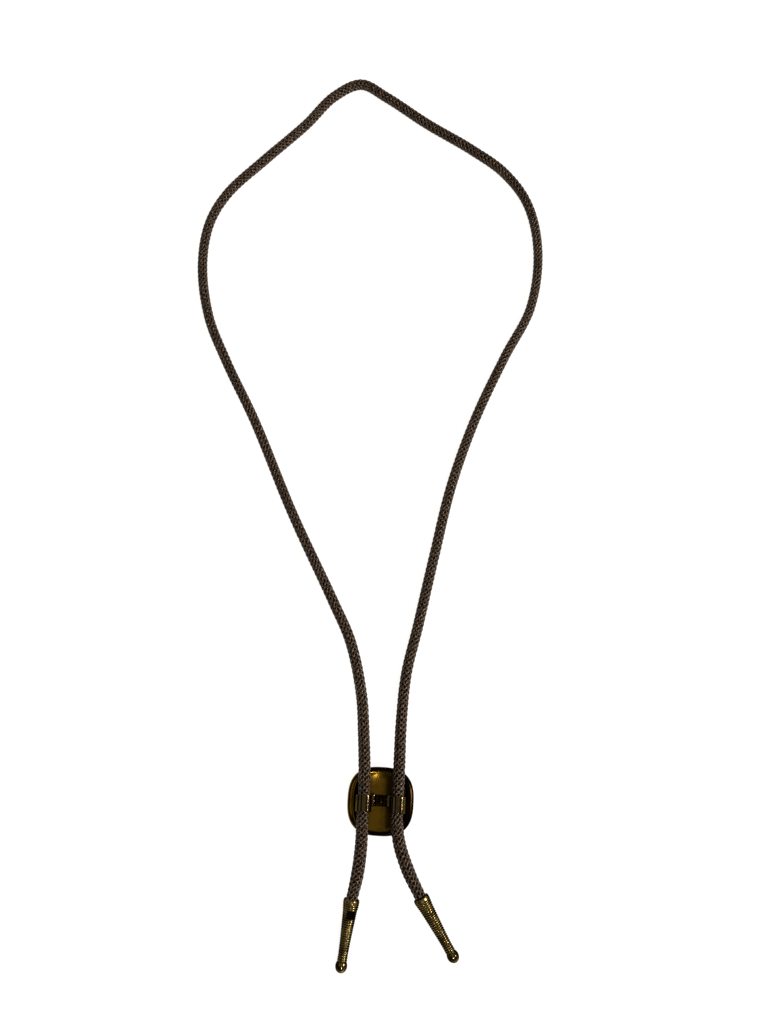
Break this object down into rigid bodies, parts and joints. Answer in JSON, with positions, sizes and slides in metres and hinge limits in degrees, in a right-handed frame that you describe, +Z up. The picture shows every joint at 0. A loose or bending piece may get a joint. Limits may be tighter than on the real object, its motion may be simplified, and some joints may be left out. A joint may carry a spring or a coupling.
{
  "type": "bolo tie",
  "caption": "Bolo tie lying back up: a knitted brown cord looped for the neck, a dished square brass slide with a rolled cord clip behind it, and ribbed brass tips with ball ends",
  "frame": {"origin": "middle of the slide's flat front panel, which rests on the surface", "axes": "+X to the right seen from above, +Y from the slide to the neck end of the loop, +Z up, out of the slide's hollow back"},
  "size_m": [0.176, 0.4429, 0.0106],
  "materials": {
    "slide_shell": "stamped, aged and lacquered, satin",
    "cord_clip": "rolled sheet, darkened, satin",
    "tip_left": "ribbed, aged, polished on the crests",
    "tip_right": "ribbed, aged, polished on the crests",
    "cord": "round tubular knit, matte"
  },
  "bodies": {
    "root": {"slide_shell": "slide_shell", "cord_clip": "cord_clip", "tip_left": "tip_left", "tip_right": "tip_right", "cord": "cord"}
  },
  "joints": []
}
